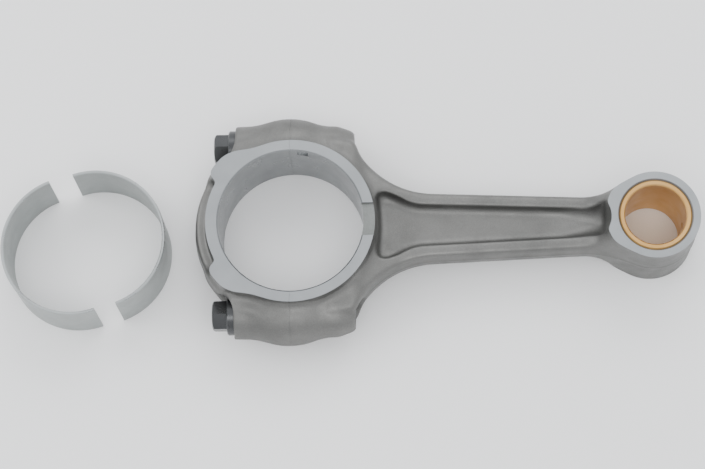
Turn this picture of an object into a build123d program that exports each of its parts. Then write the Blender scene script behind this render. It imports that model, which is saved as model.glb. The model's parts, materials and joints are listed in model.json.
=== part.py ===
from build123d import *
import math
import os

# Fracture-split connecting rod: forged rod and cap, two bolts with hardened washers,
# a pressed bronze bush, and the two bearing shells lying loose beside the cap.
# Millimetres. Origin: centre of the big-end bore at mid thickness.
# +X runs to the small end, +Z is the axis of both bores.

# Overall sizes
CENTRES = 167.0  # between the two bore axes
THICKNESS = 36.5  # across the thrust faces, the same at both ends

# Big end
HOUSING_R = 33.5  # bore that clamps the bearing shells
RING_WALL = 5.2  # width of the machined thrust face
BORE_CHAMFER = 0.6
NOTCH_WIDTH = 15.6  # lowered land in the thrust face, on the shank side
NOTCH_DEPTH = 1.2
TANG_SLOT_LENGTH = 5.0
TANG_SLOT_WIDTH = 5.2
TANG_SLOT_DEPTH = 1.2
TANG_SLOT_START = 3.0  # from the split plane
TANG_SLOT_BELOW_FACE = 0.8

# Cap
EAR_WALL = 10.5  # thrust face beside each bolt head, measured out from the bore
EAR_START = 126.0  # degrees round from +X
EAR_END = 151.0
CAP_RIB_WALL = 12.0  # stiffening rib round the back of the cap
CAP_RIB_HALF = 10.0  # half height at its root
CAP_RIB_CREST = 3.0  # half height of its outer band
CAP_RIB_DRAFT = 2.6

# Bolts, their bosses and washers
BOLT_D = 10.0
BOLT_WALL = 2.0  # steel left between bolt hole and housing bore
CAP_HOLE_CLEARANCE = 0.25  # radial
THREAD_CLEARANCE = 0.05  # radial
CAP_DEPTH = 26.5  # from the split to the washer seat
ROD_BOSS_DEPTH = 29.2  # from the split to the end of the threaded boss
BOSS_SEAT_R = 11.1
BOSS_CREST_R = 15.9  # before its crest is rounded
BOSS_CREST_ROUND = 33.0
BOSS_NECK_R = 10.9
BOSS_NECK_X = 14.5
BOSS_SHOULDER_X = 21.5
BOSS_SHOULDER_R = 10.6
BOSS_END_R = 7.8
BOSS_SWEEP_X = 17.5
BOSS_ROUND = 12.0
LUG_HALF = 10.2  # half height of the web between boss and ring
WASHER_R = 8.9
WASHER_T = 3.4
WASHER_CLEARANCE = 0.3  # radial
WASHER_CHAMFER = 0.5
SPOT_FACE_CLEARANCE = 0.8  # radial, round the washer where its seat is cut
BOSS_END_SPOT_R = 8.1  # clears the flare away from the mouth of the threaded hole
HEX_ACROSS_FLATS = 13.0
HEX_HEIGHT = 6.8
HEX_TURN = 5.6  # degrees the heads stand at when tight
HEX_CORNER_CUT = 0.9
BOLT_TIP_INSET = 5.0  # bolt end, back from the end of the threaded boss
BOLT_TIP_CHAMFER = 1.0
HOLE_CHAMFER = 0.8

# Shank
SHANK_HALF = 7.5  # half thickness over the ribs
SHANK_HALF_WIDTH = 14.5  # near the big end, where its taper starts
SHANK_TAPER = 2.35  # degrees each side
SHANK_TAPER_X = 78.0
FLARE_ANGLE = 51.0  # degrees, where the shank runs out to the bosses
FLARE_CORNER_PAST_RING = 7.8
FLARE_ROUND = 42.0
EYE_FLARE_ANGLE = 28.0  # degrees, where the shank runs tangent to the small-end eye
EYE_FLARE_ROUND = 45.0
RIB_WIDTH = 5.4
WEB_HALF = 2.75
POCKET_NARROW_PAST_RING = 17.3
POCKET_WIDE_PAST_RING = 6.8
POCKET_WIDE_HALF = 16.4
POCKET_CORNER = 4.5
POCKET_FLANK_ROUND = 8.0
POCKET_THROAT_ROUND = 18.0
POCKET_FLOOR_ROUND = 1.8
RIB_RISE = 3.0  # extra height of the ribs where they meet the ring
RIB_RISE_PAST_RING = 11.3
RIB_RISE_ROUND = 24.0
EYE_RISE_LENGTH = 8.0  # ribs climbing to the small-end face
EYE_FACE_REACH = 1.6  # small-end face, past the circle of the eye on the shank's side
EYE_RISE_ROUND = 14.0
POCKET_END_FROM_EYE = 26.0
POCKET_RUNOUT = 5.6
POCKET_RUNOUT_ROUND = 7.0

# Small end
EYE_WALL = 4.2
BUSH_WALL = 2.5
PIN_BORE_R = 14.0
EYE_CHAMFER = 0.7
BUSH_CHAMFER = 0.5
OIL_HOLE_R = 1.5

# Bearing shells, loose, standing on edge on the surface that the rod lies on
SHELL_WALL = 1.5
SHELL_WIDTH = 29.5
SHELL_GAP = 0.6  # flat on each end face, short of the half circle
SHELL_CHAMFER = 0.35
CAP_SHELL_AWAY = 24.8  # its centre, past one bore diameter from the big-end axis
CAP_SHELL_Y = -5.7
CAP_SHELL_TURN = 19.2  # degrees from +X to the crown of the shell
ROD_SHELL_AWAY = 34.1
ROD_SHELL_Y = -8.2
ROD_SHELL_TURN = 200.4

# Fracture split: where the broken face crosses X, from bottom to top, just on the cap's side
SPLIT_STEPS = (-0.2, -0.7, -0.1, -0.55, -0.15, -0.8, -0.3, -0.6, -0.1)

RING_R = HOUSING_R + RING_WALL
HALF = THICKNESS / 2
BOLT_R = BOLT_D / 2
BOLT_Y = HOUSING_R + BOLT_WALL + BOLT_R
CAP_HOLE_R = BOLT_R + CAP_HOLE_CLEARANCE
THREAD_HOLE_R = BOLT_R + THREAD_CLEARANCE
BUSH_R = PIN_BORE_R + BUSH_WALL
EYE_R = BUSH_R + EYE_WALL
CAP_BACK_R = HOUSING_R + CAP_RIB_WALL
FLARE_CORNER_X = RING_R + FLARE_CORNER_PAST_RING
POCKET_NARROW_X = RING_R + POCKET_NARROW_PAST_RING
POCKET_WIDE_X = RING_R + POCKET_WIDE_PAST_RING
RIB_RISE_X = RING_R + RIB_RISE_PAST_RING
CAP_SHELL_PLACE = (-2 * HOUSING_R - CAP_SHELL_AWAY, CAP_SHELL_Y)
ROD_SHELL_PLACE = (-2 * HOUSING_R - ROD_SHELL_AWAY, ROD_SHELL_Y)
TALL = 3 * THICKNESS  # taller or longer than anything it cuts
SIDES = (1, -1)


def polar(radius, degrees):
    angle = math.radians(degrees)
    return (radius * math.cos(angle), radius * math.sin(angle))


def slab(points, rounds, half):
    """A closed outline in XY with rounded corners, standing half above and below z = 0."""
    outline = FilletPolyline(*points, radius=rounds, close=True)
    return extrude(make_face(outline), amount=half, both=True)


def side_slab(points, rounds, half):
    """A closed outline in XZ with rounded corners, reaching half to each side of y = 0."""
    outline = FilletPolyline(*points, radius=rounds, close=True)
    return extrude(Plane.XZ * make_face(outline), amount=half, both=True)


def mirrored(points):
    """Points above the X axis, followed by their mirror images in reverse order."""
    return points + [(x, -y) for x, y in reversed(points)]


def along_x(radius, start, end, y):
    """A plain cylinder along X from start to end."""
    place = Pos((start + end) / 2, y, 0) * Rot(0, 90, 0)
    return place * Cylinder(radius, end - start)


def shank_half_width(x):
    return SHANK_HALF_WIDTH - (x - SHANK_TAPER_X) * math.tan(math.radians(SHANK_TAPER))


def eye_flare():
    """Corner where the tapering shank meets the tangent to the eye, and the tangent's end."""
    slope = math.tan(math.radians(EYE_FLARE_ANGLE))
    taper = math.tan(math.radians(SHANK_TAPER))
    touch_x, touch_y = polar(EYE_R, 90 + EYE_FLARE_ANGLE)
    touch_x += CENTRES
    level = SHANK_HALF_WIDTH + SHANK_TAPER_X * taper
    corner_x = (level - touch_y + slope * touch_x) / (slope + taper)
    return (corner_x, shank_half_width(corner_x)), (touch_x, touch_y)


def shank_outline():
    """Plan of the shank, from under the bosses to its tangent on the small-end eye."""
    corner_y = shank_half_width(FLARE_CORNER_X)
    reach = FLARE_CORNER_X / 2
    flare_y = corner_y + (FLARE_CORNER_X - reach) * math.tan(math.radians(FLARE_ANGLE))
    inner_y = HOUSING_R / 2
    eye_corner, eye_touch = eye_flare()
    half = [(reach, inner_y), (reach, flare_y), (FLARE_CORNER_X, corner_y), eye_corner, eye_touch]
    rounds = [0, 0, FLARE_ROUND, EYE_FLARE_ROUND, 0]
    return mirrored(half), rounds + rounds[::-1]


def rib_profile():
    """Side view of the ribs: low along the shank, climbing to both ends."""
    low = SHANK_HALF
    rise_end = CENTRES - EYE_R - EYE_FACE_REACH
    half = [
        (0, low + RIB_RISE),
        (RIB_RISE_X - 3 * RIB_RISE, low + RIB_RISE),
        (RIB_RISE_X, low),
        (rise_end - EYE_RISE_LENGTH, low),
        (rise_end, HALF),
        (CENTRES, HALF),
    ]
    rounds = [0, RIB_RISE_ROUND / 2, RIB_RISE_ROUND, EYE_RISE_ROUND, 0, 0]
    return mirrored(half), rounds + rounds[::-1]


def pocket_outline():
    """Plan of the pocket in the shank: narrow along it, opening towards the big end."""
    narrow_y = shank_half_width(POCKET_NARROW_X) - RIB_WIDTH
    far_x = CENTRES - EYE_R + 1
    far_y = shank_half_width(far_x) - RIB_WIDTH
    near_x = RING_R - 2
    half = [
        (near_x, POCKET_WIDE_HALF),
        (POCKET_WIDE_X, POCKET_WIDE_HALF),
        (POCKET_NARROW_X, narrow_y),
        (far_x, far_y),
    ]
    rounds = [POCKET_CORNER, POCKET_FLANK_ROUND, POCKET_THROAT_ROUND, POCKET_CORNER]
    return mirrored(half), rounds + rounds[::-1]


def pocket():
    """What is taken out of the upper side of the shank, with its floor and run-out."""
    points, rounds = pocket_outline()
    plan = slab(points, rounds, TALL)
    end_x = CENTRES - POCKET_END_FROM_EYE
    side = [
        (0, WEB_HALF),
        (end_x, WEB_HALF),
        (end_x + POCKET_RUNOUT, HALF),
        (end_x + POCKET_RUNOUT, TALL),
        (0, TALL),
    ]
    above_floor = side_slab(side, [0, POCKET_RUNOUT_ROUND, 0, 0, 0], TALL)
    cut = plan & above_floor
    floor = cut.faces().filter_by(Axis.Z).sort_by(Axis.Z)[0]
    return fillet(floor.edges().sort_by(Axis.X)[:-1], POCKET_FLOOR_ROUND)


def shank():
    points, rounds = shank_outline()
    plan = slab(points, rounds, HALF)
    side_points, side_rounds = rib_profile()
    solid = plan & side_slab(side_points, side_rounds, TALL)
    cut = pocket()
    return solid - cut - mirror(cut, about=Plane.XY)


def ear(side):
    """Full-height corner of the cap beside a bolt head."""
    radius = HOUSING_R + EAR_WALL
    points = [
        polar(HOUSING_R + RING_WALL / 2, EAR_START - 12),
        polar(radius / math.cos(math.radians(12)), EAR_START),
        polar(radius * 1.1, (EAR_START + EAR_END) / 2),
        polar(radius, EAR_END - 2),
        polar(RING_R, EAR_END),
        polar(HOUSING_R + RING_WALL / 2, EAR_END + 8),
    ]
    outline = [(x, y * side) for x, y in points]
    plan = slab(outline, [0, 3, 3, 3, 2, 0], HALF)
    flat_y = BOLT_Y - BOLT_R - 1
    keep = Pos(-TALL / 2, 0, 0) * Box(TALL, 2 * flat_y, TALL)
    return plan & Cylinder(radius, THICKNESS) & keep


def cap_rib():
    """Drafted rib round the back of the cap, between the two bosses."""
    profile = [
        (HOUSING_R + 1, -CAP_RIB_HALF),
        (CAP_BACK_R - CAP_RIB_DRAFT, -CAP_RIB_HALF),
        (CAP_BACK_R, -CAP_RIB_CREST),
        (CAP_BACK_R, CAP_RIB_CREST),
        (CAP_BACK_R - CAP_RIB_DRAFT, CAP_RIB_HALF),
        (HOUSING_R + 1, CAP_RIB_HALF),
    ]
    section = make_face(FilletPolyline(*profile, radius=[0, 1.5, 2, 2, 1.5, 0], close=True))
    ring = revolve(Plane.XZ * section, Axis.Z)
    behind_seat = Pos(-CAP_DEPTH + 2 - TALL / 2, 0, 0) * Box(TALL, TALL, TALL)
    return ring & behind_seat


def boss(side):
    """Barrel round one bolt, thickest at the split, with a web to the ring."""
    profile = [
        (-CAP_DEPTH, 0),
        (-CAP_DEPTH, BOSS_SEAT_R),
        (-BOSS_SWEEP_X, BOSS_SEAT_R),
        (0, BOSS_CREST_R),
        (BOSS_NECK_X, BOSS_NECK_R),
        (BOSS_SHOULDER_X, BOSS_SHOULDER_R),
        (ROD_BOSS_DEPTH, BOSS_END_R),
        (ROD_BOSS_DEPTH, 0),
    ]
    rounds = [0, 0, 2 * BOSS_ROUND, BOSS_CREST_ROUND, 2 * BOSS_ROUND, BOSS_ROUND, 0, 0]
    section = make_face(FilletPolyline(*profile, radius=rounds, close=True))
    barrel = Pos(0, side * BOLT_Y, 0) * revolve(section, Axis.X)
    length = CAP_DEPTH + ROD_BOSS_DEPTH
    inner_y = HOUSING_R / 2
    web = Pos((ROD_BOSS_DEPTH - CAP_DEPTH) / 2, side * (inner_y + BOLT_Y) / 2, 0)
    return barrel + web * Box(length, BOLT_Y - inner_y, 2 * LUG_HALF)


def chamfer_cone(radius, depth):
    """Cone that chamfers a bore along Z where it comes out at z = 0."""
    return Pos(0, 0, -depth / 2) * Cone(radius - depth, radius + 2 * depth, 3 * depth)


def cone_pair(radius, depth, x=0.0):
    """The two chamfers that open a bore of the given radius at both thrust faces."""
    upper = Pos(x, 0, HALF) * chamfer_cone(radius, depth)
    return upper + mirror(upper, about=Plane.XY)


def tang_slot():
    """Slot in the bore wall, near the upper face, just on the rod side of the split."""
    centre_x = TANG_SLOT_START + TANG_SLOT_LENGTH / 2
    wall_y = math.sqrt(HOUSING_R**2 - centre_x**2)
    centre_z = HALF - TANG_SLOT_BELOW_FACE - TANG_SLOT_WIDTH / 2
    place = Pos(centre_x, wall_y, centre_z)
    return place * Box(TANG_SLOT_LENGTH, 2 * TANG_SLOT_DEPTH, TANG_SLOT_WIDTH)


def thread_holes():
    """Holes from the split to each boss end, which is spot-faced and has its mouth chamfered."""
    cuts = []
    for side in SIDES:
        y = side * BOLT_Y
        mouth = Pos(ROD_BOSS_DEPTH, y, 0) * Rot(0, 90, 0)
        cuts.append(along_x(THREAD_HOLE_R, -1, ROD_BOSS_DEPTH + 1, y))
        cuts.append(along_x(BOSS_END_SPOT_R, ROD_BOSS_DEPTH, CENTRES / 2, y))
        cuts.append(mouth * chamfer_cone(THREAD_HOLE_R, HOLE_CHAMFER))
    return cuts


def forging():
    """Rod and cap as one piece, before the cap is broken off, with its bores machined."""
    blank = Cylinder(RING_R, THICKNESS) + shank() + Pos(CENTRES, 0, 0) * Cylinder(EYE_R, THICKNESS)
    blank += cap_rib()
    for side in SIDES:
        blank += boss(side)
        blank += ear(side)
    blank -= Cylinder(HOUSING_R, TALL)
    blank -= cone_pair(HOUSING_R, BORE_CHAMFER)
    for side in SIDES:
        notch = Pos(RING_R, 0, side * HALF) * Box(4 * RING_WALL, NOTCH_WIDTH, 2 * NOTCH_DEPTH)
        blank -= notch
    blank -= Pos(CENTRES, 0, 0) * Cylinder(BUSH_R, TALL)
    blank -= cone_pair(BUSH_R, EYE_CHAMFER, CENTRES)
    blank -= along_x(OIL_HOLE_R, CENTRES, CENTRES + 2 * EYE_R, 0)
    return blank


def cap_side():
    """Everything on the cap's side of the broken face, which zigzags close behind x = 0."""
    count = len(SPLIT_STEPS) - 1
    step = THICKNESS / count
    edge = [(x, -HALF + index * step) for index, x in enumerate(SPLIT_STEPS)]
    points = [(-TALL, -TALL), (0, -TALL)] + edge + [(0, TALL), (-TALL, TALL)]
    face = make_face(Polyline(*points, close=True))
    return extrude(Plane.XZ * face, amount=TALL, both=True)


def rod_body(blank, cap_zone):
    rod = blank - cap_zone - tang_slot()
    for cut in thread_holes():
        rod -= cut
    return rod


def big_end_cap(blank, cap_zone):
    cap = blank & cap_zone
    spot_r = WASHER_R + SPOT_FACE_CLEARANCE
    for side in SIDES:
        cap -= along_x(CAP_HOLE_R, -CAP_DEPTH - 1, 1, side * BOLT_Y)
        cap -= along_x(spot_r, -TALL, -CAP_DEPTH, side * BOLT_Y)
    return cap


def small_end_bush():
    bush = Pos(CENTRES, 0, 0) * (Cylinder(BUSH_R, THICKNESS) - Cylinder(PIN_BORE_R, TALL))
    bush -= cone_pair(PIN_BORE_R, BUSH_CHAMFER, CENTRES)
    return bush - along_x(OIL_HOLE_R, CENTRES, CENTRES + EYE_R, 0)


def bolt_washer(side):
    blank = along_x(WASHER_R, -CAP_DEPTH - WASHER_T, -CAP_DEPTH, side * BOLT_Y)
    rims = blank.edges().filter_by(GeomType.CIRCLE)
    washer = chamfer(rims, WASHER_CHAMFER)
    hole_r = BOLT_R + WASHER_CLEARANCE
    return washer - along_x(hole_r, -CAP_DEPTH - WASHER_T - 1, -CAP_DEPTH + 1, side * BOLT_Y)


def bolt_head():
    """Hexagon along X, its outer corners turned off, with its inner face at x = 0."""
    hexagon = RegularPolygon(HEX_ACROSS_FLATS / 2, 6, major_radius=False)
    prism = Rot(HEX_TURN, 0, 0) * extrude(Plane.YZ * hexagon, amount=-HEX_HEIGHT)
    flat_r = HEX_ACROSS_FLATS / 2
    corner_r = flat_r / math.cos(math.radians(30)) + 0.1
    profile = [
        (0, 0),
        (0, corner_r),
        (-HEX_HEIGHT + HEX_CORNER_CUT, corner_r),
        (-HEX_HEIGHT, flat_r - 0.3),
        (-HEX_HEIGHT, 0),
    ]
    turned = revolve(make_face(Polyline(*profile, close=True)), Axis.X)
    return prism & turned


def cap_bolt(side):
    under_head = -CAP_DEPTH - WASHER_T
    tip = ROD_BOSS_DEPTH - BOLT_TIP_INSET
    shank_bar = along_x(BOLT_R, under_head, tip, 0)
    end_rim = shank_bar.edges().filter_by(GeomType.CIRCLE).sort_by(Axis.X)[-1:]
    bolt = chamfer(end_rim, BOLT_TIP_CHAMFER) + Pos(under_head, 0, 0) * bolt_head()
    return Pos(0, side * BOLT_Y, 0) * bolt


def bearing_shell(place, turn):
    """Half shell with its crown at the given turn, lower edge on the resting surface."""
    ring = Cylinder(HOUSING_R, SHELL_WIDTH) - Cylinder(HOUSING_R - SHELL_WALL, SHELL_WIDTH)
    ring = chamfer(ring.edges().filter_by(GeomType.CIRCLE), SHELL_CHAMFER)
    half = ring & Pos(TALL / 2 + SHELL_GAP, 0, 0) * Box(TALL, TALL, TALL)
    lift = -HALF + SHELL_WIDTH / 2
    return Pos(place[0], place[1], lift) * Rot(0, 0, turn) * half


def build_all():
    blank = forging()
    cap_zone = cap_side()
    return {
        "rod_body": rod_body(blank, cap_zone),
        "big_end_cap": big_end_cap(blank, cap_zone),
        "small_end_bush": small_end_bush(),
        "upper_cap_bolt": cap_bolt(1),
        "lower_cap_bolt": cap_bolt(-1),
        "upper_bolt_washer": bolt_washer(1),
        "lower_bolt_washer": bolt_washer(-1),
        "rod_bearing_shell": bearing_shell(ROD_SHELL_PLACE, ROD_SHELL_TURN),
        "cap_bearing_shell": bearing_shell(CAP_SHELL_PLACE, CAP_SHELL_TURN),
    }


os.makedirs("parts", exist_ok=True)
for name, shape in build_all().items():
    export_step(shape, os.path.join("parts", name + ".step"))
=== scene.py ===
import json
import math

import bmesh
import bpy
import numpy as np
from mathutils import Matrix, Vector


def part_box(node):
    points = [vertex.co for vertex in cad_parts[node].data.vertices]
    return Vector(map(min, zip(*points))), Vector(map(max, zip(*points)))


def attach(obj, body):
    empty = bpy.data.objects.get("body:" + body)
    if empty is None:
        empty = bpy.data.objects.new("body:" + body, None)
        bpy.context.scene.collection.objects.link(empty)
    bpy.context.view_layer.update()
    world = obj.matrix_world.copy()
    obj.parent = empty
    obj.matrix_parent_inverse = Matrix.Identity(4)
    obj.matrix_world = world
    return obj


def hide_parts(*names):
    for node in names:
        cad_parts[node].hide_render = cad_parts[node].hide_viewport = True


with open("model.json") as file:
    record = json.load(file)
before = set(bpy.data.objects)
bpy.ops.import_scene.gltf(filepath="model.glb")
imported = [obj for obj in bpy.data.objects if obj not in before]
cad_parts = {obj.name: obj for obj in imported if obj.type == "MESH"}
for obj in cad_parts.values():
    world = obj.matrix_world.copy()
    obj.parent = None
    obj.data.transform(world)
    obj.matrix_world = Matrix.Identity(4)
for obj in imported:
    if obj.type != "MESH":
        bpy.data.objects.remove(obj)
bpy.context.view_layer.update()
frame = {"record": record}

import openvdb
from mathutils import Matrix, Vector

# The forging is one implicit surface, meshed and then cut by its machining, as the real one is.
# Lengths are in millimetres unless a name says metres. The frame is the CAD's: origin at the
# centre of the big-end bore, +X to the small end, +Z along both bores.
MM = 0.001
SIDES = (1, -1)
SIDE_NAMES = {1: "upper", -1: "lower"}

# ------------------------------------------------------------------ sizes from the frame


def mount(name):
    return next(m for m in frame["record"]["mounts"] if m["name"] == name)


def box_mm(node):
    low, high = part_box(node)
    return [v / MM for v in low], [v / MM for v in high]


HOUSING_R = mount("big_end_bore")["dims"]["r_mm"]
PIN_R = mount("small_end_bore")["dims"]["r_mm"]
CENTRES = mount("small_end_bore")["pos_m"][0] / MM
HALF = mount("upper_thrust_face")["pos_m"][2] / MM
BUSH_LOW, BUSH_HIGH = box_mm("small_end_bush")
BUSH_R = (BUSH_HIGH[0] - BUSH_LOW[0]) / 2
EYE_R = box_mm("rod_body")[1][0] - CENTRES
WASHER_LOW, WASHER_HIGH = box_mm("upper_bolt_washer")
CAP_DEPTH = -WASHER_HIGH[0]
WASHER_T = WASHER_HIGH[0] - WASHER_LOW[0]
WASHER_R = (WASHER_HIGH[1] - WASHER_LOW[1]) / 2
BOLT_Y = (WASHER_HIGH[1] + WASHER_LOW[1]) / 2
BOLT_LOW, BOLT_HIGH = box_mm("upper_cap_bolt")
BOLT_TIP_X = BOLT_HIGH[0]
HEAD_X = -CAP_DEPTH - WASHER_T
HEX_HEIGHT = HEAD_X - BOLT_LOW[0]

# ------------------------------------------------------------------ sizes of the forging

RING_R = HOUSING_R + 5.2
RING_DRAFT = 0.05
EAR_R = 44.2
EAR_FLAT = 34.4
EAR_END = math.radians(150.5)
CAP_BACK_R = 44.4
BACK_SWELL = 0.45
CAP_RIB_TOP = 10.5
ROD_BOSS_DEPTH = 29.2
WEB_TOP = 10.4
RELIEF_R = 10.4
SHANK_TOP = 7.5
SHANK_WIDTH = 14.9
SHANK_TAPER = 2.35
SHANK_TAPER_X = 78.0
SIDE_DRAFT = 0.08
FLARE_X = 46.5
FLARE_ANGLE = 51.0
FLARE_ROUND = 42.0
FLARE_REACH = 38.5
EYE_FLARE_ANGLE = 28.0
EYE_FLARE_ROUND = 45.0
RIB = 5.6
WEB_HALF = 2.75
POCKET_X = 38.4
POCKET_WIDE = 16.4
POCKET_THROAT_X = 56.0
POCKET_FLANK = 31.0
POCKET_DRAFT = 0.16
POCKET_THROAT_ROUND = 20.0
POCKET_END_X = 144.1
POCKET_END_ANGLE = 80.0
POCKET_END_ROUND = 5.5
RIB_CLIMB_X = 137.4
RIB_CLIMB_ANGLE = 56.5
RIB_CLIMB_ROUND = 10.0
RIB_SWELL_X = 53.0
RIB_SWELL_ANGLE = 11.0
RIB_SWELL_ROUND = 40.0
BOSS_CREST_R = 15.9
BOSS_SWEEP_X = -17.5
BOSS_SWEEP_R = 11.3
BOSS_NECK_X = 14.5
BOSS_NECK_R = 10.9
BOSS_SHOULDER_X = 21.5
BOSS_SHOULDER_R = 10.6
BOSS_RISE = 14.7  # degrees, from the cap end up to the crest
BOSS_FALL = -19.0  # from the crest down to the neck
BOSS_NECK_FALL = -2.5
BOSS_END_FALL = -20.0
FLASH_HALF = 1.1
FLASH_PROUD = 0.18
BOSS_INSET = 0.27  # keeps the bosses and their flash inside the CAD box
CELL = 0.66

# Machining
SPLIT_X = -0.4
SPLIT_GAP = 0.07
BORE_CHAMFER = 0.6
EYE_CHAMFER = 0.7
BUSH_RECESS = 0.2
NOTCH_HALF = 7.8
NOTCH_DEPTH = 1.2
OIL_HOLE_R = 1.5
BOLT_R = 5.0
CAP_HOLE_R = 5.25
THREAD_PITCH = 1.25
THREAD_DEPTH = 0.5
THREAD_PLAY = 0.08
TAP_CREST_R = 5.3
BOLT_CREST_R = 4.76
CONTACT_GAP = 0.02
TANG_X = 5.5
TANG_LENGTH = 5.0
TANG_WIDTH = 5.2
TANG_DEPTH = 1.2
TANG_BELOW_FACE = 0.8
SEAT_R = 9.7
END_FACE_R = 7.9

# Bush, bolts, washers and shells
BUSH_CHAMFER = 0.5
WASHER_CHAMFER = 0.5
WASHER_CLEARANCE = 0.3
HEX_TURN = 5.6  # degrees
HEX_CORNER_R = 7.5
BOLT_LEAD_IN = 1.2
BOLT_THREAD_X = 2.0
TAP_THREAD_X = 1.5
SHELL_WALL = 1.5
SHELL_WIDTH = 29.5
SHELL_CHAMFER = 0.35
SHELL_HALF_ANGLE = 89.0  # degrees each side of the crown
SHELLS = {"cap": ((-91.8, -5.7), 19.2), "rod": ((-101.1, -8.2), 200.4)}  # centre, crown in degrees


def bent(x, corner_x, corner_y, before, after, radius):
    """Two straight lines through a corner, at angles in degrees, joined by a tangent arc."""
    a, b = math.radians(before), math.radians(after)
    turn = 1.0 if b > a else -1.0
    tangent = radius * math.tan(abs(b - a) / 2)
    start = corner_x - tangent * math.cos(a)
    end = corner_x + tangent * math.cos(b)
    centre_x = start - turn * radius * math.sin(a)
    centre_y = corner_y - tangent * math.sin(a) + turn * radius * math.cos(a)
    arc = centre_y - turn * np.sqrt(np.clip(radius**2 - (x - centre_x) ** 2, 0, None))
    first = corner_y + (x - corner_x) * math.tan(a)
    second = corner_y + (x - corner_x) * math.tan(b)
    return np.where(x < start, first, np.where(x > end, second, arc))


def smooth_min(a, b, k):
    overlap = np.maximum(k - np.abs(a - b), 0)
    return np.minimum(a, b) - overlap * overlap / (4 * k)


def smooth_max(a, b, k):
    return -smooth_min(-a, -b, k)


def beyond(height, curve, x):
    """Distance of a height above a curve over x, square to the curve."""
    slope = (curve(x + 0.25) - curve(x - 0.25)) / 0.5
    return (height - curve(x)) / np.sqrt(1 + slope * slope)


# ------------------------------------------------------------------ shape of the forging


def taper(x):
    return SHANK_WIDTH - (x - SHANK_TAPER_X) * math.tan(math.radians(SHANK_TAPER))


def eye_tangent():
    """Where the flared shank touches the eye, and where its line leaves the taper."""
    slope = math.tan(math.radians(EYE_FLARE_ANGLE))
    narrowing = math.tan(math.radians(SHANK_TAPER))
    touch_x = CENTRES - EYE_R * math.sin(math.radians(EYE_FLARE_ANGLE))
    touch_y = EYE_R * math.cos(math.radians(EYE_FLARE_ANGLE))
    corner_x = touch_x - (touch_y - taper(touch_x)) / (slope + narrowing)
    return touch_x, corner_x


def shank_edge(x):
    """Half width of the shank: flared to the bosses, tapering, then tangent to the eye."""
    big = bent(x, FLARE_X, taper(FLARE_X), -FLARE_ANGLE, -SHANK_TAPER, FLARE_ROUND)
    corner = EYE_CORNER_X
    small = bent(x, corner, taper(corner), -SHANK_TAPER, EYE_FLARE_ANGLE, EYE_FLARE_ROUND)
    return np.where(x < (FLARE_X + corner) / 2, big, small)


def pocket_edge(x):
    """Half width of the pocket at the height of the ribs."""
    throat_y = taper(POCKET_THROAT_X) - RIB
    throat = bent(
        x, POCKET_THROAT_X, throat_y, -POCKET_FLANK, -SHANK_TAPER, POCKET_THROAT_ROUND
    )
    return smooth_min(throat, np.full_like(x, POCKET_WIDE), 4.0)


def pocket_floor(x):
    """Height of the pocket floor, which sweeps up to the small-end face."""
    return bent(x, POCKET_END_X, WEB_HALF, 0.0, POCKET_END_ANGLE, POCKET_END_ROUND)


def rib_climb(x):
    return bent(x, RIB_CLIMB_X, SHANK_TOP, 0.0, RIB_CLIMB_ANGLE, RIB_CLIMB_ROUND)


def rib_swell(x):
    return bent(x, RIB_SWELL_X, SHANK_TOP, -RIB_SWELL_ANGLE, 0.0, RIB_SWELL_ROUND)


def pocket_field(x, ay, az):
    walls = beyond(ay, pocket_edge, x) - POCKET_DRAFT * (az - SHANK_TOP)
    near_end = POCKET_X - x - POCKET_DRAFT * (az - SHANK_TOP)
    plan = smooth_max(walls, near_end, 6.5)
    floor = -beyond(az, pocket_floor, x + 0 * ay)
    corner = 3.6 + 4.5 * np.clip((x - 125) / 15, 0, 1)
    return smooth_max(plan, floor, corner)


EYE_TOUCH_X, EYE_CORNER_X = eye_tangent()


def shank_field(x, ay, az):
    """Shank before its pockets: drafted sides, and tops that climb to both ends."""
    sides = beyond(ay, shank_edge, x) - SIDE_DRAFT * (SHANK_TOP - az)
    from_eye = CENTRES - np.hypot(CENTRES - x, ay)
    from_ring = np.hypot(x, ay)
    over_climb = beyond(az, rib_climb, from_eye)
    over_swell = beyond(az, rib_swell, from_ring)
    tops = np.where(from_eye > 100, over_climb, over_swell)
    solid = smooth_max(sides, tops, 2.8)
    solid = smooth_max(solid, 20.0 - x, 1.0)
    solid = smooth_max(solid, ay - FLARE_REACH, 3.0)
    return smooth_max(solid, x - EYE_TOUCH_X + 2.0, 8.0)


def boss_radius(x):
    """Barrel round a bolt: swollen at the split, necked towards both ends."""
    crest = bent(x, 0.0, BOSS_CREST_R, BOSS_RISE, BOSS_FALL, 33.0)
    cap_end = bent(x, BOSS_SWEEP_X, BOSS_SWEEP_R, 1.5, BOSS_RISE, 30.0)
    neck = bent(x, BOSS_NECK_X, BOSS_NECK_R, BOSS_FALL, BOSS_NECK_FALL, 25.0)
    shoulder = bent(x, BOSS_SHOULDER_X, BOSS_SHOULDER_R, BOSS_NECK_FALL, BOSS_END_FALL, 12.0)
    left = np.where(x < -10.0, cap_end, crest)
    right = np.where(x < 18.0, neck, shoulder)
    return np.where(x < 10.3, left, right)


def boss_field(x, ay, az):
    reach = np.hypot(ay - BOLT_Y, az)
    barrel = (reach - boss_radius(x) + BOSS_INSET) * 0.97
    web = smooth_max(np.abs(ay - 30.0) - 10.0, az - WEB_TOP, 3.0)
    solid = smooth_min(barrel, web, 4.0)
    solid = smooth_max(solid, -(x + CAP_DEPTH + 0.4), 0.9)
    return smooth_max(solid, x - ROD_BOSS_DEPTH - 0.4, 3.0)


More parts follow.
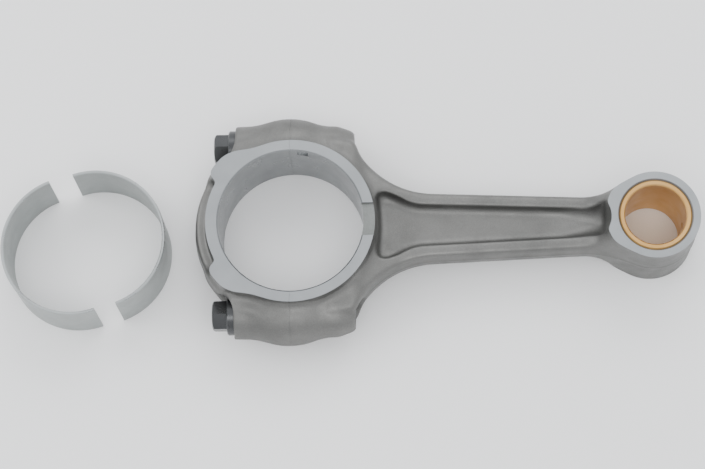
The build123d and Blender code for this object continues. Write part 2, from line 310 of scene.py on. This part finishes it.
def cap_field(x, ay, az):
    """Full-height ears beside the bolt heads, and the stiffening rib round the back."""
    radius = np.hypot(x, ay)
    draft = RING_DRAFT * (HALF - az)
    beyond_end = -(x * -math.sin(EAR_END) + ay * math.cos(EAR_END))
    ear = smooth_max(radius - EAR_R, ay - EAR_FLAT, 5.0)
    ear = smooth_max(ear, -beyond_end, 5.0)
    ear = smooth_max(ear, x + 10.0, 2.0) - draft
    rib_top = az - CAP_RIB_TOP + 0.3 * (CAP_BACK_R - radius)
    rib = smooth_max(radius - CAP_BACK_R - SIDE_DRAFT * (CAP_RIB_TOP - az), rib_top, 4.0)
    rib = smooth_max(rib, x + 16.0, 4.0)
    return smooth_min(ear, rib, 4.0)


def forging_field(x, y, z):
    """Signed distance to the forging before machining, negative inside."""
    ay, az = np.abs(y), np.abs(z)
    back = BACK_SWELL * np.clip((-x - 25) / 10, 0, 1)
    ring = np.hypot(x, ay) - RING_R - back - RING_DRAFT * (HALF - az)
    ring_and_ears = smooth_min(ring, cap_field(x, ay, az), 2.4)
    eye = np.hypot(x - CENTRES, ay) - EYE_R + FLASH_PROUD
    beam = smooth_min(shank_field(x, ay, az), eye, 4.0)
    beam = smooth_max(beam, -pocket_field(x, ay, az), 1.3)
    body = smooth_min(ring_and_ears, boss_field(x, ay, az), 4.5)
    body = smooth_min(body, beam, 5.0)
    relief = smooth_max(np.hypot(ay - BOLT_Y, az) - RELIEF_R, x + CAP_DEPTH + 0.4, 1.0)
    body = smooth_max(body, -relief, 1.4)
    flash = FLASH_PROUD * np.clip(1 - (az / FLASH_HALF) ** 4, 0, 1)
    return np.maximum(body - flash, az - HALF - 2 * CELL)


# ------------------------------------------------------------------ mesh helpers


def new_object(name, mesh):
    piece = bpy.data.objects.new(name, mesh)
    bpy.context.scene.collection.objects.link(piece)
    return piece


def mesh_object(name, points, faces):
    """An object from points in millimetres, with its faces turned outwards."""
    mesh = bpy.data.meshes.new(name)
    mesh.from_pydata((np.asarray(points) * MM).tolist(), [], [list(f) for f in faces])
    shape = bmesh.new()
    shape.from_mesh(mesh)
    bmesh.ops.recalc_face_normals(shape, faces=shape.faces)
    shape.to_mesh(mesh)
    shape.free()
    return new_object(name, mesh)


def field_object(name, field, low, high):
    """The zero surface of a field, its points then moved onto the exact surface."""
    axes = [np.arange(a, b + CELL, CELL) for a, b in zip(low, high)]
    x, y, z = axes[0][:, None, None], axes[1][None, :, None], axes[2][None, None, :]
    values = field(x, y, z)
    grid = openvdb.FloatGrid(3 * CELL)
    grid.copyFromArray(np.clip(values, -3 * CELL, 3 * CELL).astype(np.float32))
    points, quads = grid.convertToQuads(0.0)
    points = np.asarray(low) + CELL * points.astype(float)
    step = 0.01
    for _ in range(3):
        here = field(*points.T)
        slopes = []
        for axis in range(3):
            nudge = np.zeros(3)
            nudge[axis] = step
            ahead = field(*(points + nudge).T)
            behind = field(*(points - nudge).T)
            slopes.append((ahead - behind) / (2 * step))
        gradient = np.stack(slopes, axis=1)
        size = np.maximum((gradient**2).sum(axis=1), 0.05)
        move = -gradient * (here / size)[:, None]
        points += np.clip(move, -CELL, CELL)
    return mesh_object(name, points, quads)


def lathe(name, profile, segments=96, ring=False):
    """Revolves (radius, height) points round Z: a closed ring, or a solid with capped ends."""
    turns = np.linspace(0, 2 * math.pi, segments, endpoint=False)
    radii, heights = np.asarray(profile, float).T
    count = len(profile)
    points = np.stack(
        [
            np.outer(np.cos(turns), radii).ravel(),
            np.outer(np.sin(turns), radii).ravel(),
            np.tile(heights, segments),
        ],
        axis=1,
    )
    faces = []
    for turn in range(segments):
        here, there = turn * count, (turn + 1) % segments * count
        for index in range(count if ring else count - 1):
            after = (index + 1) % count
            faces.append((here + index, there + index, there + after, here + after))
    if not ring:
        faces.append([turn * count for turn in range(segments)][::-1])
        faces.append([turn * count + count - 1 for turn in range(segments)])
    return mesh_object(name, points, faces)


ALONG_X = Matrix.Rotation(math.pi / 2, 4, "Y")


def moved(piece, x, y, z, turn=None):
    """Turns a piece's mesh about the origin, then moves it by millimetres."""
    matrix = Matrix.Translation(Vector((x, y, z)) * MM)
    piece.data.transform(matrix @ turn if turn else matrix)
    return piece


def block(name, low, high):
    spans = list(zip(low, high))
    corners = [(x, y, z) for x in spans[0] for y in spans[1] for z in spans[2]]
    faces = [(0, 1, 3, 2), (4, 6, 7, 5), (0, 4, 5, 1), (2, 3, 7, 6), (0, 2, 6, 4), (1, 5, 7, 3)]
    return mesh_object(name, corners, faces)


def boolean(piece, tool, operation, keep_tool=False):
    """Applies one exact Boolean to a piece's mesh."""
    modifier = piece.modifiers.new("cut", "BOOLEAN")
    modifier.operation = operation
    modifier.solver = "MANIFOLD"
    modifier.object = tool
    depsgraph = bpy.context.evaluated_depsgraph_get()
    result = bpy.data.meshes.new_from_object(piece.evaluated_get(depsgraph), depsgraph=depsgraph)
    piece.modifiers.clear()
    before = len(piece.data.polygons)
    piece.data = result
    if not len(result.polygons):
        raise RuntimeError(f"{operation} of {tool.name} from {piece.name} left nothing of {before}")
    if not keep_tool:
        bpy.data.objects.remove(tool)
    return piece


def plug(name, radius, low, high, chamfer, segments=192):
    """Cutter for a bore along Z with a chamfer at each end, from low to high."""
    over = 2.0
    return lathe(
        name,
        [
            (radius + chamfer + over, low - over),
            (radius, low + chamfer),
            (radius, high - chamfer),
            (radius + chamfer + over, high + over),
        ],
        segments,
    )


def rod(name, radius, start, end, y, segments=64):
    """Plain cylinder along X."""
    cylinder = lathe(name, [(radius, start), (radius, end)], segments)
    return moved(cylinder, 0, y, 0, ALONG_X)


def threaded_rod(name, start, thread_start, end, radius, crest, y, lead_in, segments=48):
    """Rod along X: plain until thread_start, then a right-hand thread at its crest radius."""
    per_turn = 10
    step = THREAD_PITCH / per_turn
    stations = np.concatenate([[start], np.arange(thread_start, end, step), [end]])
    turns = np.linspace(0, 2 * math.pi, segments, endpoint=False)
    phase = (stations[:, None] / THREAD_PITCH - turns[None, :] / (2 * math.pi)) % 1.0
    groove = np.clip(2 * np.abs(phase - 0.5) * 1.25 - 0.125, 0, 1)
    fade_in = np.clip((stations - thread_start) / THREAD_PITCH, 0, 1)[:, None]
    nose = np.clip((stations - end + lead_in) / max(lead_in, 1e-6), 0, 1)[:, None]
    radii = radius + (crest - radius - THREAD_DEPTH * groove) * fade_in
    if lead_in:
        radii = np.where(nose > 0, np.minimum(radii, crest - THREAD_DEPTH * 1.15 * nose), radii)
    points = np.stack(
        [
            np.broadcast_to(stations[:, None], radii.shape).ravel(),
            (y + radii * np.cos(turns)[None, :]).ravel(),
            (radii * np.sin(turns)[None, :]).ravel(),
        ],
        axis=1,
    )
    faces = []
    for row in range(len(stations) - 1):
        for column in range(segments):
            after = (column + 1) % segments
            a, b = row * segments, (row + 1) * segments
            faces.append((a + column, a + after, b + after, b + column))
    faces.append(list(range(segments)))
    faces.append([(len(stations) - 1) * segments + c for c in range(segments)][::-1])
    return mesh_object(name, points, faces)


def fracture_side(name, gap):
    """Solid on the cap's side of the broken face: a fine rough surface just behind x = 0."""
    across = np.arange(-62.0, 62.01, 0.7)
    up = np.arange(-21.0, 21.01, 0.7)
    y, z = np.meshgrid(across, up, indexing="ij")
    rough = 0.16 * np.sin(0.55 * y + 1.3 * np.sin(0.31 * z)) * np.cos(0.42 * z + 0.6)
    rough += 0.10 * np.sin(1.35 * y + 0.9 * z + 2.0 * np.sin(0.5 * z + 0.2 * y))
    rough += 0.07 * np.sin(2.9 * z - 1.7 * y + 0.5) * np.sin(2.3 * y + 0.8)
    surface = np.stack([SPLIT_X + rough - gap, y, z], axis=-1).reshape(-1, 3)
    back = surface.copy()
    back[:, 0] = -80.0
    rows, columns = y.shape
    offset = len(surface)
    faces = []
    for i in range(rows - 1):
        for j in range(columns - 1):
            a = i * columns + j
            b = a + columns
            faces.append((a, b, b + 1, a + 1))
    border = [i * columns for i in range(rows)]
    border += [(rows - 1) * columns + j for j in range(1, columns)]
    border += [i * columns + columns - 1 for i in range(rows - 2, -1, -1)]
    border += list(range(columns - 2, 0, -1))
    for here, there in zip(border, border[1:] + border[:1]):
        faces.append((here, offset + here, offset + there, there))
    used = sorted(set(border))
    index = {vertex: offset + number for number, vertex in enumerate(used)}
    faces = [[index[v - offset] if v >= offset else v for v in face] for face in faces]
    faces.append([index[v] for v in border])
    points = np.concatenate([surface, back[used]])
    return mesh_object(name, points, faces)


# ------------------------------------------------------------------ materials


def blank_material(name):
    material = bpy.data.materials.new(name)
    material.use_nodes = True
    nodes, links = material.node_tree.nodes, material.node_tree.links
    return material, nodes, links, nodes["Principled BSDF"]


def pattern(nodes, links, scale, stretch=(1, 1, 1), detail=3.0, rough=0.55):
    """Noise in the part's own metres, stretched per axis; returns its value socket."""
    where = nodes.new("ShaderNodeTexCoord")
    mapping = nodes.new("ShaderNodeMapping")
    mapping.inputs["Scale"].default_value = stretch
    noise = nodes.new("ShaderNodeTexNoise")
    noise.inputs["Scale"].default_value = scale
    noise.inputs["Detail"].default_value = detail
    noise.inputs["Roughness"].default_value = rough
    links.new(where.outputs["Object"], mapping.inputs["Vector"])
    links.new(mapping.outputs["Vector"], noise.inputs["Vector"])
    return noise.outputs["Fac"]


def ramp(nodes, links, source, stops):
    node = nodes.new("ShaderNodeValToRGB")
    elements = node.color_ramp.elements
    while len(elements) < len(stops):
        elements.new(0.5)
    for element, (place, colour) in zip(elements, stops):
        element.position = place
        element.color = (*colour, 1.0)
    links.new(source, node.inputs["Fac"])
    return node.outputs["Color"]


def spread(nodes, links, source, low, high):
    """Maps a noise value's usual range onto low to high."""
    node = nodes.new("ShaderNodeMapRange")
    node.inputs["From Min"].default_value = 0.3
    node.inputs["From Max"].default_value = 0.7
    node.inputs["To Min"].default_value = low
    node.inputs["To Max"].default_value = high
    links.new(source, node.inputs["Value"])
    return node.outputs["Result"]


def blend_colours(nodes, links, mode, factor, first, second):
    node = nodes.new("ShaderNodeMix")
    node.data_type = "RGBA"
    node.blend_type = mode
    node.inputs["Factor"].default_value = factor
    links.new(first, node.inputs["A"])
    links.new(second, node.inputs["B"])
    return node.outputs["Result"]


def bumps(nodes, links, bsdf, layers):
    """Chains bump layers, each a (height socket, strength, depth in metres)."""
    normal = None
    for height, strength, depth in layers:
        bump = nodes.new("ShaderNodeBump")
        bump.inputs["Strength"].default_value = strength
        bump.inputs["Distance"].default_value = depth
        links.new(height, bump.inputs["Height"])
        if normal is not None:
            links.new(normal, bump.inputs["Normal"])
        normal = bump.outputs["Normal"]
    links.new(normal, bsdf.inputs["Normal"])


def steel(name, dark, light, roughness, metallic, layers, speckle=0.0):
    """Steel whose colour drifts between dark and light, with its roughness and its bump layers."""
    material, nodes, links, bsdf = blank_material(name)
    bsdf.inputs["Metallic"].default_value = metallic
    drift = pattern(nodes, links, 45, detail=4.0)
    colour = ramp(nodes, links, drift, [(0.3, dark), (0.7, light)])
    if speckle:
        fine = pattern(nodes, links, 2600, detail=2.0)
        grains = ramp(nodes, links, fine, [(0.35, (0.45,) * 3), (0.65, (1.0,) * 3)])
        colour = blend_colours(nodes, links, "MULTIPLY", speckle, colour, grains)
    links.new(colour, bsdf.inputs["Base Color"])
    patches = pattern(nodes, links, 160, detail=3.0)
    links.new(spread(nodes, links, patches, *roughness), bsdf.inputs["Roughness"])
    heights = []
    for scale, stretch, strength, depth in layers:
        heights.append((pattern(nodes, links, scale, stretch), strength, depth))
    bumps(nodes, links, bsdf, heights)
    return material


def make_materials():
    plain = (1, 1, 1)
    grain = [(900, plain, 0.35, 2e-4), (2600, plain, 0.5, 1.0e-4)]
    ground = [(1500, (0.06, 1, 1), 0.25, 4e-5), (260, plain, 0.15, 5e-5)]
    honed = [(1800, (0.12, 0.12, 1), 0.25, 4e-5), (240, plain, 0.12, 5e-5)]
    turned = [(2200, (1, 0.15, 0.15), 0.3, 4e-5)]
    bored = [(2400, (0.08, 0.08, 1), 0.35, 4e-5)]
    rolled = [(1400, (0.2, 0.2, 1), 0.2, 3e-5), (200, plain, 0.15, 6e-5)]
    crystal = [(1600, plain, 0.9, 4e-4), (420, plain, 0.6, 5e-4)]
    # dark and light colour, roughness range, metallic, bump layers, and how strong its speckle is
    finishes = {
        "forged": ((0.155, 0.155, 0.149), (0.205, 0.204, 0.196), (0.42, 0.55), 0.9, grain, 0.35),
        "ground": ((0.31, 0.325, 0.335), (0.35, 0.365, 0.375), (0.30, 0.40), 0.95, ground),
        "honed": ((0.22, 0.23, 0.235), (0.29, 0.30, 0.305), (0.26, 0.36), 0.95, honed),
        "notch": ((0.19, 0.20, 0.193), (0.24, 0.25, 0.243), (0.45, 0.6), 0.9, grain, 0.3),
        # faced seats and boss ends: coloured darker than the forging, painted shade of their
        # recesses rather than the bright colour of faced steel
        "faced_painted_shade": ((0.13, 0.13, 0.13), (0.18, 0.18, 0.18), (0.3, 0.42), 0.95, turned),
        "drilled": ((0.14, 0.14, 0.14), (0.2, 0.2, 0.2), (0.4, 0.5), 0.9, turned),
        "fractured": ((0.10, 0.10, 0.10), (0.2, 0.2, 0.2), (0.35, 0.7), 0.9, crystal, 0.4),
        "oxide": ((0.060, 0.062, 0.064), (0.090, 0.092, 0.094), (0.24, 0.34), 0.9, turned),
        "bronze": ((0.55, 0.31, 0.10), (0.66, 0.41, 0.16), (0.28, 0.40), 0.95, bored),
        "shell": ((0.31, 0.33, 0.325), (0.37, 0.39, 0.385), (0.40, 0.52), 0.9, rolled),
        "shell_edge": ((0.40, 0.42, 0.42), (0.46, 0.48, 0.48), (0.25, 0.35), 0.95, ground),
    }
    return {name: steel(name, *finish) for name, finish in finishes.items()}


MATERIALS = make_materials()


def finish_surfaces(piece, names, choose):
    """Gives a piece its materials by what each face is, smooth but for its real edges."""
    mesh = piece.data
    mesh.materials.clear()
    for name in names:
        mesh.materials.append(MATERIALS[name])
    count = len(mesh.polygons)
    centres, normals = np.empty(count * 3), np.empty(count * 3)
    mesh.polygons.foreach_get("center", centres)
    mesh.polygons.foreach_get("normal", normals)
    slots = choose(centres.reshape(-1, 3) / MM, normals.reshape(-1, 3)).astype(np.int32)
    mesh.polygons.foreach_set("material_index", slots)
    mesh.polygons.foreach_set("use_smooth", np.ones(count, bool))
    mesh.set_sharp_from_angle(angle=math.radians(32))
    edges_between_finishes(mesh, slots)
    mesh.update()


def edges_between_finishes(mesh, slots):
    """Marks the edges where two finishes meet as sharp."""
    loops = len(mesh.loops)
    edge_of_loop = np.empty(loops, np.int32)
    mesh.loops.foreach_get("edge_index", edge_of_loop)
    totals = np.empty(len(mesh.polygons), np.int32)
    mesh.polygons.foreach_get("loop_total", totals)
    slot_of_loop = np.repeat(slots, totals)
    low = np.full(len(mesh.edges), 99, np.int32)
    high = np.full(len(mesh.edges), -1, np.int32)
    np.minimum.at(low, edge_of_loop, slot_of_loop)
    np.maximum.at(high, edge_of_loop, slot_of_loop)
    sharp = np.empty(len(mesh.edges), bool)
    mesh.edges.foreach_get("use_edge_sharp", sharp)
    mesh.edges.foreach_set("use_edge_sharp", sharp | (low != high))


# ------------------------------------------------------------------ rod and cap


FORGING_FINISHES = ["forged", "ground", "honed", "notch", "faced_painted_shade", "drilled", "fractured"]
FORGED, GROUND, HONED, NOTCH, FACED_PAINTED_SHADE, DRILLED, FRACTURED = range(len(FORGING_FINISHES))


def forging_finish(centres, normals):
    x, y, z = centres.T
    nx, _, nz = np.abs(normals).T
    az = np.abs(z)
    big, small = np.hypot(x, y), np.hypot(x - CENTRES, y)
    bolt = np.hypot(np.abs(y) - BOLT_Y, z)
    slots = np.full(len(x), FORGED)
    slots[(nz > 0.999) & (np.abs(az - HALF) < 0.02)] = GROUND
    inside_big = (big < HOUSING_R + BORE_CHAMFER + 0.1) & (nz < 0.95)
    inside_small = (small < BUSH_R + EYE_CHAMFER + 0.1) & (nz < 0.95)
    slots[inside_big] = HONED
    slots[inside_small] = DRILLED
    tang = (np.abs(x - TANG_X) < TANG_LENGTH / 2 + 0.1) & (z > HALF - 7) & (y > 0)
    slots[tang & (big < HOUSING_R + 2 * TANG_DEPTH) & (az < HALF - 0.1)] = HONED
    slots[(nz > 0.999) & (np.abs(az - HALF + NOTCH_DEPTH) < 0.02)] = NOTCH
    # seat and boss-end faces take the faced material, whose dark colour is painted shade
    at_seat = (nx > 0.999) & (np.abs(x + CAP_DEPTH) < 0.02)
    at_end = (nx > 0.999) & (np.abs(x - ROD_BOSS_DEPTH) < 0.02)
    slots[at_seat | at_end] = FACED_PAINTED_SHADE
    in_hole = (bolt < BOLT_R + 1.1) & (x > -CAP_DEPTH - 1) & (x < ROD_BOSS_DEPTH)
    slots[in_hole & (nx < 0.9)] = DRILLED
    slots[(np.abs(x - SPLIT_X) < 0.6) & (nx > 0.75) & (bolt > BOLT_R)] = FRACTURED
    return slots


def machine(piece):
    """Cuts both ends to width, then the bores, notches and the oil hole."""
    slab = block("slab", (-60, -70, -HALF), (CENTRES + 40, 70, HALF))
    boolean(piece, slab, "INTERSECT")
    boolean(piece, plug("big_bore", HOUSING_R, -HALF, HALF, BORE_CHAMFER, 288), "DIFFERENCE")
    eye = moved(plug("eye_bore", BUSH_R, -HALF, HALF, EYE_CHAMFER), CENTRES, 0, 0)
    boolean(piece, eye, "DIFFERENCE")
    for side in SIDES:
        low, high = sorted((side * (HALF - NOTCH_DEPTH), side * (HALF + 2)))
        notch = block("notch", (HOUSING_R - 3, -NOTCH_HALF, low), (RING_R + 6, NOTCH_HALF, high))
        boolean(piece, notch, "DIFFERENCE")
    oil = rod("oil", OIL_HOLE_R, CENTRES, CENTRES + 2 * EYE_R, 0, 32)
    return boolean(piece, oil, "DIFFERENCE")


def make_forgings():
    """One forging, machined, broken in two at the big end, and drilled."""
    low = (-CAP_BACK_R - 3, -BOLT_Y - 18, -HALF - 3)
    high = (CENTRES + EYE_R + 3, BOLT_Y + 18, HALF + 3)
    rod_body = machine(field_object("forged_rod", forging_field, low, high))
    cap = new_object("forged_cap", rod_body.data.copy())
    boolean(cap, fracture_side("break_cap", SPLIT_GAP), "INTERSECT")
    boolean(rod_body, fracture_side("break_rod", 0.0), "DIFFERENCE")
    for side in SIDES:
        y = side * BOLT_Y
        boolean(cap, rod("hole", CAP_HOLE_R, -CAP_DEPTH - 3, 3, y), "DIFFERENCE")
        boolean(cap, rod("seat", SEAT_R, -80, -CAP_DEPTH, y, 96), "DIFFERENCE")
        plain_r = BOLT_R + THREAD_PLAY
        ends = (-3.0, TAP_THREAD_X, ROD_BOSS_DEPTH + 3)
        tap = threaded_rod("tap", *ends, plain_r, TAP_CREST_R, y, 0.0)
        boolean(rod_body, tap, "DIFFERENCE")
        boolean(rod_body, rod("end_face", END_FACE_R, ROD_BOSS_DEPTH, 60, y, 96), "DIFFERENCE")
        mouth = lathe("mouth", [(BOLT_R - 1.6, -2), (BOLT_R + 1.6, 1.2)], 48)
        boolean(rod_body, moved(mouth, ROD_BOSS_DEPTH, y, 0, ALONG_X), "DIFFERENCE")
    wall_y = math.sqrt(HOUSING_R**2 - TANG_X**2)
    top = HALF - TANG_BELOW_FACE
    low = (TANG_X - TANG_LENGTH / 2, wall_y - 2, top - TANG_WIDTH)
    high = (TANG_X + TANG_LENGTH / 2, wall_y + TANG_DEPTH, top)
    boolean(rod_body, block("tang", low, high), "DIFFERENCE")
    finish_surfaces(rod_body, FORGING_FINISHES, forging_finish)
    finish_surfaces(cap, FORGING_FINISHES, forging_finish)
    return rod_body, cap


# ------------------------------------------------------------------ bush, bolts, washers, shells


def make_bush():
    c = BUSH_CHAMFER
    inner, outer, half = PIN_R, BUSH_R - 0.01, HALF - BUSH_RECESS
    profile = [
        (inner + c, half), (outer - c, half), (outer, half - c), (outer, c - half),
        (outer - c, -half), (inner + c, -half), (inner, c - half), (inner, half - c),
    ]
    bush = moved(lathe("bronze_bush", profile, 192, ring=True), CENTRES, 0, 0)
    boolean(bush, rod("oil", OIL_HOLE_R, CENTRES, CENTRES + EYE_R, 0, 32), "DIFFERENCE")
    finish_surfaces(bush, ["bronze"], lambda centres, normals: np.zeros(len(centres)))
    return bush


def make_washer(side):
    c = WASHER_CHAMFER
    inner = BOLT_R + WASHER_CLEARANCE
    low, high = CONTACT_GAP, WASHER_T - CONTACT_GAP
    profile = [
        (inner + 0.3, low), (WASHER_R - 0.2, low), (WASHER_R, 0.2), (WASHER_R, high - c),
        (WASHER_R - c, high), (inner + c, high), (inner, high - c), (inner, 0.3),
    ]
    washer = lathe(f"{SIDE_NAMES[side]}_washer", profile, 96, ring=True)
    turn = Matrix.Rotation(-math.pi / 2, 4, "Y")
    moved(washer, -CAP_DEPTH, side * BOLT_Y, 0, turn)
    finish_surfaces(washer, ["oxide"], lambda centres, normals: np.zeros(len(centres)))
    return washer


def make_bolt(side):
    """Hexagon-headed bolt: turned head, plain shank and cut thread."""
    y = side * BOLT_Y
    top = HEAD_X - HEX_HEIGHT
    hexagon = lathe("hexagon", [(HEX_CORNER_R, HEAD_X), (HEX_CORNER_R, top)], 6)
    turn = ALONG_X @ Matrix.Rotation(math.radians(HEX_TURN), 4, "Z")
    moved(hexagon, 0, y, 0, turn)
    crown = lathe(
        "crown",
        [(6.1, top), (7.0, top + 0.55), (7.75, top + 1.3), (7.75, HEAD_X - 0.5), (7.3, HEAD_X)],
        72,
    )
    boolean(hexagon, moved(crown, 0, y, 0, ALONG_X), "INTERSECT")
    hexagon.name = f"{SIDE_NAMES[side]}_bolt"
    ends = (HEAD_X - 1, BOLT_THREAD_X, BOLT_TIP_X)
    thread = threaded_rod("thread", *ends, BOLT_R, BOLT_CREST_R, y, BOLT_LEAD_IN)
    boolean(hexagon, thread, "UNION")
    finish_surfaces(hexagon, ["oxide"], lambda centres, normals: np.zeros(len(centres)))
    return hexagon


def make_shell(half):
    """Half shell standing on its edge, with a chamfer along every rim."""
    place, turn = SHELLS[half]
    c = SHELL_CHAMFER
    outer, inner = HOUSING_R, HOUSING_R - SHELL_WALL
    low, high = -HALF, -HALF + SHELL_WIDTH
    profile = [
        (inner + c, high), (outer - c, high), (outer, high - c), (outer, low + c),
        (outer - c, low), (inner + c, low), (inner, low + c), (inner, high - c),
    ]
    stop = math.radians(SHELL_HALF_ANGLE)
    turns = np.linspace(-stop, stop, 129) + math.radians(turn)
    points = [
        (place[0] + r * math.cos(t), place[1] + r * math.sin(t), z)
        for t in turns
        for r, z in profile
    ]
    count = len(profile)
    faces = []
    for k in range(len(turns) - 1):
        here, there = k * count, (k + 1) * count
        for i in range(count):
            after = (i + 1) % count
            faces.append((here + i, there + i, there + after, here + after))
    faces.append(list(range(count)))
    faces.append([(len(turns) - 1) * count + i for i in range(count)][::-1])
    shell = mesh_object(f"{half}_shell", points, faces)
    finish_surfaces(shell, ["shell", "shell_edge"], shell_finish)
    return shell


def shell_finish(centres, normals):
    """The cut rims are brighter than the rolled faces."""
    return (np.abs(normals[:, 2]) > 0.3).astype(int)


# ------------------------------------------------------------------ camera, lights and floor


def aimed(target, location):
    return (Vector(target) - Vector(location)).to_track_quat("-Z", "Y").to_euler()


def make_camera():
    """Camera at the fitted place and angle, in metres and unit vectors of the frame."""
    right = Vector((0.99951201, -0.00655464, -0.03054132))
    up = Vector((0.01505806, 0.9577363, 0.28725325))
    back = right.cross(up)
    data = bpy.data.cameras.new("camera")
    data.sensor_fit = "HORIZONTAL"
    data.sensor_width = 36.0
    data.lens = 108.21
    camera = new_object("camera", data)
    place = Vector((54.963, -285.874, 944.993)) * MM
    rotation = Matrix((right, up, back)).transposed().to_4x4()
    camera.matrix_world = Matrix.Translation(place) @ rotation
    bpy.context.scene.camera = camera


def area_light(name, place, target, size, power):
    data = bpy.data.lights.new(name, "AREA")
    data.shape = "RECTANGLE"
    data.size, data.size_y = size
    data.energy = power
    light = new_object(name, data)
    light.location = place
    light.rotation_euler = aimed(target, place)


def make_studio():
    middle = (0.04, 0.0, 0.0)
    area_light("key", (0.1, -0.5, 1.1), middle, (0.8, 0.45), 4.0)
    area_light("back", (0.25, 0.8, 0.9), middle, (0.9, 0.5), 3.5)
    area_light("left", (-0.95, 0.1, 0.8), middle, (0.8, 0.5), 4.0)
    world = bpy.data.worlds.new("studio")
    world.use_nodes = True
    nodes, links = world.node_tree.nodes, world.node_tree.links
    background = nodes["Background"]
    background.inputs["Color"].default_value = (0.96, 0.975, 1.0, 1.0)
    direction = nodes.new("ShaderNodeSeparateXYZ")
    links.new(nodes.new("ShaderNodeTexCoord").outputs["Generated"], direction.inputs["Vector"])
    glow = nodes.new("ShaderNodeMapRange")
    glow.inputs["From Min"].default_value = -1.0
    glow.inputs["To Min"].default_value = 1.15
    glow.inputs["To Max"].default_value = 1.75
    links.new(direction.outputs["Y"], glow.inputs["Value"])
    links.new(glow.outputs["Result"], background.inputs["Strength"])
    bpy.context.scene.world = world
    floor = block("floor", (-1500, -1500, -HALF - 5), (1500, 1500, -HALF - 0.02))
    material, nodes, links, bsdf = blank_material("paper")
    bsdf.inputs["Roughness"].default_value = 0.7
    shade = ramp(nodes, links, pattern(nodes, links, 6), [(0.3, (0.93,) * 3), (0.7, (0.95,) * 3)])
    links.new(shade, bsdf.inputs["Base Color"])
    floor.data.materials.append(material)


# ------------------------------------------------------------------ assembly


def stand_in(piece, node, body):
    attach(piece, body)
    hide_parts(node)


make_camera()
make_studio()
rod_piece, cap_piece = make_forgings()
stand_in(rod_piece, "rod_body", "rod")
stand_in(cap_piece, "big_end_cap", "cap")
stand_in(make_bush(), "small_end_bush", "rod")
for side, word in SIDE_NAMES.items():
    stand_in(make_washer(side), f"{word}_bolt_washer", f"{word}_washer")
    stand_in(make_bolt(side), f"{word}_cap_bolt", f"{word}_bolt")
for half in SHELLS:
    stand_in(make_shell(half), f"{half}_bearing_shell", f"{half}_shell")
